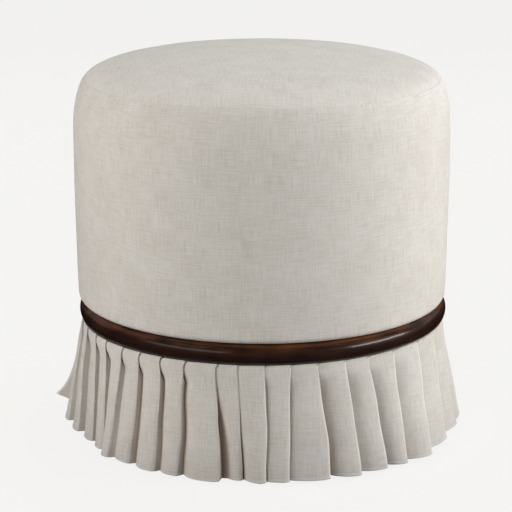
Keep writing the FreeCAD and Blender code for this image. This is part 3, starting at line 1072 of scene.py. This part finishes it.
@dataclass
class Skirt:
    """The knife-pleated skirt: one sheet of linen, pressed under the hoop and open at the hem."""

    outline: Outline
    folds: list[Fold]
    total: int = 44
    top_r: float = 219 * MM
    top_depth: float = 1.8 * MM
    top_lap: float = 2.2
    top_fullness: float = 4.0
    sway: float = 0.9
    belly: float = 2.5 * MM
    fold_r: float = 0.5 * MM
    open_r: float = 4 * MM
    hem_z: float = 4.5 * MM
    cloth_t: float = 0.8 * MM
    hem_turn: float = 3.6 * MM
    hem_relief: float = 0.45 * MM
    hem_step: float = 0.6 * MM
    hem_rows: tuple[float, ...] = (2.0, 1.35, 1.1, 0.95, 0.2, 0.0)
    hem_waver: float = 0.8 * MM
    hem_waver_length: float = 40 * MM
    hoop_gap: float = 0.5 * MM
    hoop_reach: float = 0.9
    hook_drop: float = 0.07
    lead_power: float = 1.4
    flare_power: float = 1.12
    kick_power: float = 7.0
    sway_rate: float = 2.0
    belly_seed: float = 5.0
    bend_limit: float = 0.45
    merge: float = 0.02 * MM
    back_top_chance: float = 0.8
    back_lead_chance: float = 1.2
    back_reach: Point = (238, 246)
    fold_steps: int = 4
    face_steps: int = 13
    back_steps: int = 4
    rows: int = 30
    seed: int = 5
    shift: float = -1.0 * MM

    def build(self) -> list[bpy.types.Object]:
        """Makes the skirt.

        Returns:
            The skirt alone, in a list as from the other builders.
        """
        self._add_back_folds()
        shares = self._shares()
        sections = [self._section(share) for share in shares]
        middle = sections[len(sections) // 2]
        run = [0.0]
        for here, after in zip(middle, middle[1:]):
            run.append(run[-1] + (after - here).length)
        bm = self._sheet(sections, shares, run)
        self._turn_hem(bm, shares)
        bmesh.ops.translate(bm, verts=bm.verts, vec=Vector((self.shift, 0, 0)))
        skirt = new_piece("pleated_skirt", bm, Linen("skirt_linen", Lay.CUT).material())
        thicken(skirt, self.cloth_t)
        drop = self._drop()
        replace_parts(skirt, *[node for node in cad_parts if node.startswith("skirt_panel")])
        LOG.info("skirt cut %.0f x %.0f mm, %d pleats", run[-1] / MM, drop / MM, len(self.folds))
        return [skirt]

    def _sheet(
        self,
        sections: Sequence[Sequence[Vector]],
        shares: Sequence[float],
        run: Sequence[float],
    ) -> bmesh.types.BMesh:
        """Bends a flat grid to the rows of the skirt.

        Args:
            sections: Points of each row.
            shares: Each row's share of the drop.
            run: Place of each column along the flat cut.

        Returns:
            The sheet, with its flat cut, rows, fold depths, and the strength of the painted highlight along
            its fold edges.
        """
        columns = len(run) - 1
        drop = self._drop()
        bm = bmesh.new()
        bmesh.ops.create_grid(bm, x_segments=columns, y_segments=self.rows, size=1.0)
        # A new layer moves those before it, so all are made before any is used.
        bm.verts.layers.int.new(ROW)
        bm.verts.layers.float.new(FOLD_DEPTH)
        bm.verts.layers.float.new(EDGE_HIGHLIGHT)
        row = bm.verts.layers.int[ROW]
        depth = bm.verts.layers.float[FOLD_DEPTH]
        edge = bm.verts.layers.float[EDGE_HIGHLIGHT]
        spots = {}
        for vert in bm.verts:
            column = round((vert.co.x + 1) / 2 * columns)
            spots[vert] = (column, round((1 - vert.co.y) / 2 * self.rows))
        cut = bm.loops.layers.uv.new(CUT_MAP)
        for face in bm.faces:
            for loop in face.loops:
                column, level = spots[loop.vert]
                loop[cut].uv = (run[column], drop * (1 - shares[level]))
        for vert, (column, level) in spots.items():
            vert[row] = level
            vert.co = sections[level][column]
            vert[depth] = self._depth(column, shares[level], vert.co.xy.length)
            # Weight of the painted highlight along the fold edges.
            vert[edge] = self._edge_highlight_at(column)
        bmesh.ops.remove_doubles(bm, verts=bm.verts, dist=self.merge)
        return bm

    def _drop(self) -> float:
        """Height of the skirt, to the middle of the hoop."""
        return self.outline.hoop[1] - self.hem_z

    def _shares(self) -> list[float]:
        """Spaces the rows, closer together at the turned hem.

        Returns:
            Each row's share of the drop.
        """
        even = self.rows + 1 - len(self.hem_rows)
        turn = self.hem_turn / self._drop()
        turned = [1 - turn * part for part in self.hem_rows]
        return [turned[0] * step / even for step in range(even)] + turned

    def _add_back_folds(self) -> None:
        """Carries the folds on round the back, evenly but for small chances."""
        chance = random.Random(self.seed)
        first, last = self.folds[0], self.folds[-1]
        count = self.total - len(self.folds)
        for step in range(1, count + 1):
            share = step / (count + 1)
            top = lerp(last.top, first.top + FULL_TURN, share)
            top += chance.uniform(-self.back_top_chance, self.back_top_chance)
            lead = lerp(last.hem - last.top, first.hem - first.top, share)
            lead += chance.uniform(-self.back_lead_chance, self.back_lead_chance)
            self.folds.append(Fold(top, top + lead, lerp(*self.back_reach, chance.random())))

    def _edge(self, fold: Fold, share: float) -> Point:
        """Places a fold edge.

        Args:
            fold: The fold.
            share: Share of the drop, from 0 at the hoop to 1 at the hem.

        Returns:
            Its angle and radius.
        """
        turn = lerp(fold.top, fold.hem, 1 - (1 - share) ** self.lead_power)
        turn += fold.hang.value.hook * max(0.0, 1 - share / self.hook_drop) ** 2
        flare = (1 - fold.kick) * share**self.flare_power + fold.kick * share**self.kick_power
        reach = lerp(self.top_r, fold.reach * MM, flare)
        between = 4 * share * (1 - share)
        down = self.sway_rate * share
        turn += self.sway * between * noise.noise(Vector((fold.top, down, 0)))
        return turn, reach + self.belly * between * noise.noise(Vector((fold.top, down, self.belly_seed)))

    def _inner(self, fold: Fold, share: float) -> Point:
        """Places the inner fold behind a fold edge.

        Args:
            fold: The fold.
            share: Share of the drop, from 0 at the hoop to 1 at the hem.

        Returns:
            Its angle and radius.
        """
        form = fold.hang.value
        turn, reach = self._edge(fold, share)
        opened = form.opened(share)
        return turn + lerp(-self.top_lap, form.gap, opened), reach - lerp(self.top_depth, form.depth, opened)

    def _section(self, share: float) -> list[Vector]:
        """One row of the sheet.

        Args:
            share: Share of the drop, from 0 at the hoop to 1 at the hem.

        Returns:
            The points of the row, once round and back to the first.
        """
        before = self._inner(self.folds[-1], share)
        before = (before[0] - FULL_TURN, before[1])
        faces = []
        for fold in self.folds:
            inner = self._inner(fold, share)
            faces.append((self._face(fold, share, before), self._plan(*inner)))
            before = inner
        points = []
        soft = lerp(self.fold_r, self.open_r, share)
        for number, (face, inner) in enumerate(faces):
            following = faces[(number + 1) % len(faces)][0]
            points += face[1:-1]
            tip = self._bend(face[-2], face[-1], inner, self.fold_r)
            heel = self._bend(face[-1], inner, following[1], soft)
            points += tip
            points += [tip[-1].lerp(heel[0], step / self.back_steps) for step in range(1, self.back_steps)]
            points += heel
        points.append(points[0])
        return [self._hung(point, number, share) for number, point in enumerate(points)]

    def _face(self, fold: Fold, share: float, before: Point) -> list[Vector]:
        """The face of one pleat in plan.

        Args:
            fold: Its fold edge.
            share: Share of the drop.
            before: Angle and radius of the inner fold that it starts from.

        Returns:
            Its points, from that inner fold to the fold edge.
        """
        form = fold.hang.value
        opened = form.opened(share)
        turn, reach = self._edge(fold, share)
        fullness = lerp(self.top_fullness, form.fullness, opened)
        points = []
        for step in range(self.face_steps + 1):
            across = eased(step / self.face_steps)
            low = form.floor * opened
            rise = 1 - (1 - max(0.0, across - low) / (1 - low)) ** fullness
            roll = form.nose * share * max(0.0, 1 - (1 - across) / form.curl) ** 2
            points.append(self._plan(lerp(before[0], turn, across), lerp(before[1], reach, rise) - roll))
        return points

    @staticmethod
    def _plan(degrees: float, radius: float) -> Vector:
        """Point in plan at an angle from the front, towards the right."""
        angle = math.radians(degrees)
        return Vector((math.sin(angle) * radius, -math.cos(angle) * radius))

    def _bend(self, before: Vector, corner: Vector, after: Vector, cut: float) -> list[Vector]:
        """Rounds a fold.

        Args:
            before: The point before the fold.
            corner: The sharp fold.
            after: The point after the fold.
            cut: How far from the corner the rounding starts, at most.

        Returns:
            The rounded points.
        """
        cut = min(cut, self.bend_limit * (before - corner).length, self.bend_limit * (after - corner).length)
        start = corner + (before - corner).normalized() * cut
        end = corner + (after - corner).normalized() * cut
        shares = [step / self.fold_steps for step in range(self.fold_steps + 1)]
        return [start.lerp(corner, s).lerp(corner.lerp(end, s), s) for s in shares]

    def _per_pleat(self) -> int:
        """Points of one pleat in a row."""
        return self.face_steps - 1 + self.back_steps - 1 + 2 * (self.fold_steps + 1)

    def _fold_at(self, number: int) -> Fold:
        """The fold that a numbered point of a row belongs to."""
        return self.folds[number // self._per_pleat() % len(self.folds)]

    def _depth(self, number: int, share: float, radius: float) -> float:
        """Finds how deep in its fold a point lies.

        Args:
            number: Number of the point in its row.
            share: Share of the drop, from 0 at the hoop to 1 at the hem.
            radius: The point's radius.

        Returns:
            0 at the fold edge, 1 at the deeper inner fold beside it.
        """
        place = number // self._per_pleat() % len(self.folds)
        reach = self._edge(self.folds[place], share)[1]
        inner = min(self._inner(fold, share)[1] for fold in (self.folds[place - 1], self.folds[place]))
        return max(0.0, reach - radius) / (reach - inner)

    def _edge_highlight_at(self, number: int) -> float:
        """Finds how strongly a highlight is painted on a point, standing in for light caught by a pressed
        fold edge.

        Args:
            number: Number of the point in its row.

        Returns:
            The painted highlight strength of its fold edge, or 0 off the edge.
        """
        first = self.face_steps - 2
        on_edge = first <= number % self._per_pleat() <= first + 1 + self.fold_steps
        return self._fold_at(number).hang.value.edge_highlight if on_edge else 0.0

    def _hung(self, point: Vector, number: int, share: float) -> Vector:
        """Hangs a point of a row between the hoop's underside and the hem.

        Args:
            point: The point in plan.
            number: Number of the point in its row.
            share: Share of the drop, from 0 at the hoop to 1 at the hem.

        Returns:
            The point of the sheet.
        """
        centre, level = self.outline.hoop
        section = self.outline.section_r
        away = min(max(point.length - centre, 0.0), self.hoop_reach * section)
        top = level - math.sqrt(section**2 - away**2) - self.hoop_gap
        place = number / self._per_pleat()
        rise = self._fold_at(number).lift * math.sin(math.pi * (place % 1))
        hem = self.hem_z + rise + noise.noise(Vector((*point, 0)) / self.hem_waver_length) * self.hem_waver
        return Vector((*point, lerp(top, hem, share)))

    def _turn_hem(self, bm: bmesh.types.BMesh, shares: Sequence[float]) -> None:
        """Raises the turned hem from the cloth above it.

        Args:
            bm: The skirt's mesh, moved in place.
            shares: Each row's share of the drop.
        """
        bm.normal_update()
        row = bm.verts.layers.int[ROW]
        drop = self._drop()
        pushes = {}
        for vert in bm.verts:
            below = self.hem_turn - (1 - shares[vert[row]]) * drop
            pushes[vert] = vert.normal * self.hem_relief * eased(below / self.hem_step)
        for vert, push in pushes.items():
            vert.co += push


FRONT_FOLDS = (
    Fold(-90, -98, 262, Hang.OPEN, 15 * MM, 0.35),
    Fold(-81.5, -85, 243, Hang.OPEN),
    Fold(-72.5, -74, 236, Hang.OPEN),
    Fold(-64, -64, 230, Hang.OPEN),
    Fold(-57, -56, 231, Hang.OPEN),
    Fold(-48, -49, 241, Hang.TUBE),
    Fold(-40.5, -41, 237, Hang.TUBE),
    Fold(-32.5, -31.5, 240, Hang.TUBE),
    Fold(-24, -24, 240, Hang.TUBE),
    Fold(-14, -12, 243, Hang.LAPPED),
    Fold(-7.5, -5.5, 236, Hang.TUCKED),
    Fold(0.5, 1, 244, Hang.PRESSED),
    Fold(8.5, 7.5, 242, Hang.PRESSED),
    Fold(16.5, 19, 242),
    Fold(25.5, 28, 245),
    Fold(33.5, 37.5, 241),
    Fold(44, 44.5, 244),
    Fold(56, 55, 247),
    Fold(68, 69.5, 239),
    Fold(80, 84, 241, Hang.FLAT),
    Fold(89.5, 94, 246, Hang.FLAT),
)


@dataclass
class Underside:
    """The stiff tape that the pleats are sewn to, and the dust sheet under the base."""

    cutout_half: float = 23 * MM
    leg_circle: float = 140 * MM
    sag: float = 1.6 * MM
    tape_t: float = 1.5 * MM
    tape_rows: int = 6
    sheet_t: float = 0.5 * MM
    sheet_rings: int = 20
    steps: int = 128

    def build(self) -> list[bpy.types.Object]:
        """Makes tape and dust sheet.

        Returns:
            The tape and the dust sheet.
        """
        low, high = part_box("skirt_header")
        strip = [(high.x, lerp(low.z, high.z, step / self.tape_rows)) for step in range(self.tape_rows + 1)]
        tape = new_piece("pleat_tape", spun(strip, self.steps), TAPE.material())
        thicken(tape, self.tape_t)
        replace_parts(tape, "skirt_header")
        return [tape, self._dust_sheet()]

    def _dust_sheet(self) -> bpy.types.Object:
        """Makes the dust sheet, sagging a little and cut out round the legs.

        Returns:
            The dust sheet.
        """
        low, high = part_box("dust_cover")
        edge = high.x
        radii = [edge * (1 - step / self.sheet_rings) for step in range(self.sheet_rings + 1)]
        sheet = spun([(r, low.z - self.sag * (1 - (r / edge) ** 2)) for r in radii], self.steps)
        diagonals = (Vector((1, 1, 0)).normalized(), Vector((1, -1, 0)).normalized())
        half = self.cutout_half
        cuts = [leg + side for leg in (-self.leg_circle, self.leg_circle, 0.0) for side in (-half, half)]
        for way in diagonals:
            for place in cuts:
                geom = [*sheet.verts, *sheet.edges, *sheet.faces]
                bmesh.ops.bisect_plane(sheet, geom=geom, plane_co=way * place, plane_no=way)
        holes = [face for face in sheet.faces if self._at_leg(face.calc_center_median(), diagonals)]
        bmesh.ops.delete(sheet, geom=holes, context="FACES")
        bmesh.ops.recalc_face_normals(sheet, faces=sheet.faces)
        piece = new_piece("dust_sheet", sheet, CAMBRIC.material())
        thicken(piece, self.sheet_t)
        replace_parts(piece, "dust_cover")
        return piece

    def _at_leg(self, spot: Vector, diagonals: Sequence[Vector]) -> bool:
        """Tells whether a spot lies in one of the leg cut-outs.

        Args:
            spot: The spot.
            diagonals: Directions of the two pairs of legs.

        Returns:
            Whether it lies in a cut-out.
        """
        along, aside = (abs(spot.dot(way)) for way in diagonals)
        long, short = max(along, aside), min(along, aside)
        return abs(long - self.leg_circle) < self.cutout_half and short < self.cutout_half


WADDING = Fibre("wadding", (0.86, 0.86, 0.84), (0.66, 0.66, 0.64), 1.2 * MM, 0.6 * MM)
FOAM = Fibre("foam", (0.82, 0.76, 0.55), (0.66, 0.58, 0.38), 0.8 * MM, 0.3 * MM)
TAPE = Fibre("header_tape", (0.80, 0.78, 0.72), (0.62, 0.59, 0.52), 0.7 * MM, 0.2 * MM)
CAMBRIC = Fibre("cambric", (0.020, 0.020, 0.022), (0.008, 0.008, 0.009), 0.9 * MM, 0.15 * MM)
PLYWOOD = SawnWood("birch_plywood", (0.62, 0.47, 0.30), (0.42, 0.29, 0.17), 0, layer=3 * MM)
TIMBER = SawnWood("pine_posts", (0.66, 0.50, 0.31), (0.46, 0.30, 0.16), 2)
BOARD = SawnWood("fibreboard", (0.30, 0.20, 0.12), (0.20, 0.13, 0.08), 0, grain=1.5 * MM, run=2 * MM)
STEEL = Hardware("zinc_steel", (0.62, 0.63, 0.65), (0.42, 0.42, 0.43), 1.0, 0.32)
NYLON = Hardware("nylon", (0.035, 0.033, 0.032), (0.075, 0.072, 0.070), 0.0, 0.45)
FRAME_FINISHES = {
    "trim_ring": Walnut("walnut_hoop", True, painted_light_top=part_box("trim_ring")[1].z),
    "leg": Walnut("stained_legs", False, coat=0.25),
    "seat_deck": PLYWOOD,
    "base_panel": PLYWOOD,
    "skirt_rail": PLYWOOD,
    "upright": TIMBER,
    "side_wall": BOARD,
    "glide": NYLON,
    "base_screws": STEEL,
    "deck_screws": STEEL,
    "ring_screws": STEEL,
    "rail_screws": STEEL,
    "hanger_bolts": STEEL,
    "tee_nuts": STEEL,
}


def dress_frame() -> list[bpy.types.Object]:
    """Gives each CAD piece that stays in the looks its finish.

    Returns:
        The dressed pieces.
    """
    made = {}
    dressed = []
    for node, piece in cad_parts.items():
        finish = FRAME_FINISHES.get(node.rstrip("_0123456789"))
        if finish is None:
            continue
        if finish.name not in made:
            made[finish.name] = finish.material()
        piece.data.materials.clear()
        piece.data.materials.append(made[finish.name])
        dressed.append(piece)
    return dressed


@dataclass(frozen=True)
class Softbox:
    """A square area light or a long strip, aimed at the drum; only a strip shows in polished wood."""

    name: str
    azimuth: float
    elevation: float
    power: float
    size: float
    colour: Colour = (1.0, 1.0, 1.0)
    strip: float = 0.0
    distance: float = 2.6

    def build(self, aim: Vector) -> None:
        """Hangs the light.

        Args:
            aim: The point that it faces.
        """
        data = bpy.data.lights.new(self.name, "AREA")
        data.shape = "RECTANGLE"
        data.size = self.size
        data.size_y = self.strip or self.size
        data.energy = self.power
        data.color = self.colour
        lamp = bpy.data.objects.new(self.name, data)
        turn, rise = math.radians(self.azimuth), math.radians(self.elevation)
        level = math.cos(rise)
        away = Vector((math.sin(turn) * level, -math.cos(turn) * level, math.sin(rise)))
        lamp.location = aim + away * self.distance
        lamp.rotation_euler = away.to_track_quat("Z", "Y").to_euler()
        lamp.visible_glossy = bool(self.strip)
        bpy.context.scene.collection.objects.link(lamp)


@dataclass
class Studio:
    """Pale floor, soft lights and the camera."""

    floor_half: float = 12.0
    floor_glow: Colour = (0.865, 0.857, 0.841)
    floor_tone: Colour = (0.05, 0.05, 0.049)
    bounce_inner: float = 0.29
    bounce_outer: float = 4.0
    bounce_lift: float = 1 * MM
    bounce_steps: int = 64
    bounce_colour: Colour = (0.97, 1.0, 0.96)
    bounce_strength: float = 0.32
    sky_strength: float = 0.0
    aim: Vector = field(default_factory=lambda: Vector((0, 0, 0.27)))
    eye: Vector = field(default_factory=lambda: Vector((-0.0083, -2.6, 0.8955)))
    pitch: float = 75.182
    lens: float = 155.2
    lights: Sequence[Softbox] = (
        Softbox("left_key", -55, 22, 21.3, 1.4, (1.0, 0.985, 0.965), distance=1.7),
        Softbox("right_key", 64, 10, 6.2, 0.8, distance=1.0),
        Softbox("top_right", 90, 68, 4.6, 0.7, (0.94, 0.985, 1.0), distance=1.2),
        Softbox("top_back", 165, 60, 24.0, 1.4, (0.94, 0.985, 1.0)),
        Softbox("left_strip", -47, 14, 5.0, 2.4, strip=0.5),
        Softbox("right_strip", 75, 14, 18.0, 1.9, strip=0.30),
        Softbox("back_strip", 180, 14, 6.0, 2.0, strip=0.3),
        Softbox("left_rim", -125, 20, 1.5, 1.5, strip=1.5),
        Softbox("right_rim", 125, 20, 2.0, 1.5, strip=1.5),
    )

    def build(self) -> None:
        """Sets the stage."""
        bm = bmesh.new()
        bmesh.ops.create_grid(bm, x_segments=1, y_segments=1, size=self.floor_half)
        floor = self._flat("floor", bm, self.floor_tone, self.floor_glow, 1.0)
        floor.visible_diffuse = False
        ring = spun([(self.bounce_inner, 0.0), (self.bounce_outer, 0.0)], self.bounce_steps)
        bmesh.ops.translate(ring, verts=ring.verts, vec=UP * self.bounce_lift)
        bounce = self._flat("bounce", ring, self.floor_tone, self.bounce_colour, self.bounce_strength)
        bounce.visible_camera = False
        bounce.visible_shadow = False
        for light in self.lights:
            light.build(self.aim)
        world = bpy.data.worlds.new("studio")
        world.use_nodes = True
        world.node_tree.nodes["Background"].inputs["Strength"].default_value = self.sky_strength
        scene = bpy.context.scene
        scene.world = world
        scene.view_settings.view_transform = "Standard"
        self._hang_camera()

    @staticmethod
    def _flat(
        name: str,
        bm: bmesh.types.BMesh,
        tone: Colour,
        glow: Colour,
        strength: float,
    ) -> bpy.types.Object:
        """Lays a glowing flat piece of the stage that polished faces don't mirror.

        Args:
            name: Name of the piece.
            bm: Its mesh, which is freed.
            tone: Its colour under the lights.
            glow: Colour of its own light.
            strength: Strength of its own light.

        Returns:
            The new object.
        """
        mesh = bpy.data.meshes.new(name)
        bm.to_mesh(mesh)
        bm.free()
        material = Nodes(name).surface(
            Base_Color=tone,
            Roughness=1.0,
            Specular_IOR_Level=0.0,
            Emission_Color=glow,
            Emission_Strength=strength,
        )
        mesh.materials.append(material)
        piece = bpy.data.objects.new(name, mesh)
        piece.visible_glossy = False
        bpy.context.scene.collection.objects.link(piece)
        piece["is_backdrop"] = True
        return piece

    def _hang_camera(self) -> None:
        """Places the camera at the photo's angle."""
        data = bpy.data.cameras.new("camera")
        data.lens = self.lens
        camera = bpy.data.objects.new("camera", data)
        camera.location = self.eye
        camera.rotation_euler = (math.radians(self.pitch), 0, 0)
        scene = bpy.context.scene
        scene.collection.objects.link(camera)
        scene.camera = camera


def write_sizes() -> None:
    """Logs the size of the finished looks."""
    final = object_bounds()
    size = final[1] - final[0]
    LOG.info("looks %.1f x %.1f x %.1f mm", *(side / MM for side in size))


def main() -> None:
    """Builds the ottoman's looks in order and reports each piece."""
    logging.basicConfig(level=logging.INFO, format="%(name)s: %(message)s")
    outline = Outline()
    pieces = Drum(outline).build()
    pieces += Padding(outline).build()
    pieces += Skirt(outline, list(FRONT_FOLDS)).build()
    pieces += Underside().build()
    pieces += dress_frame()
    for piece in pieces:
        LOG.info("%s in %s, %d faces", piece.name, piece.data.materials[0].name, len(piece.data.polygons))
    Studio().build()
    write_sizes()


if __name__ == "__main__":
    main()
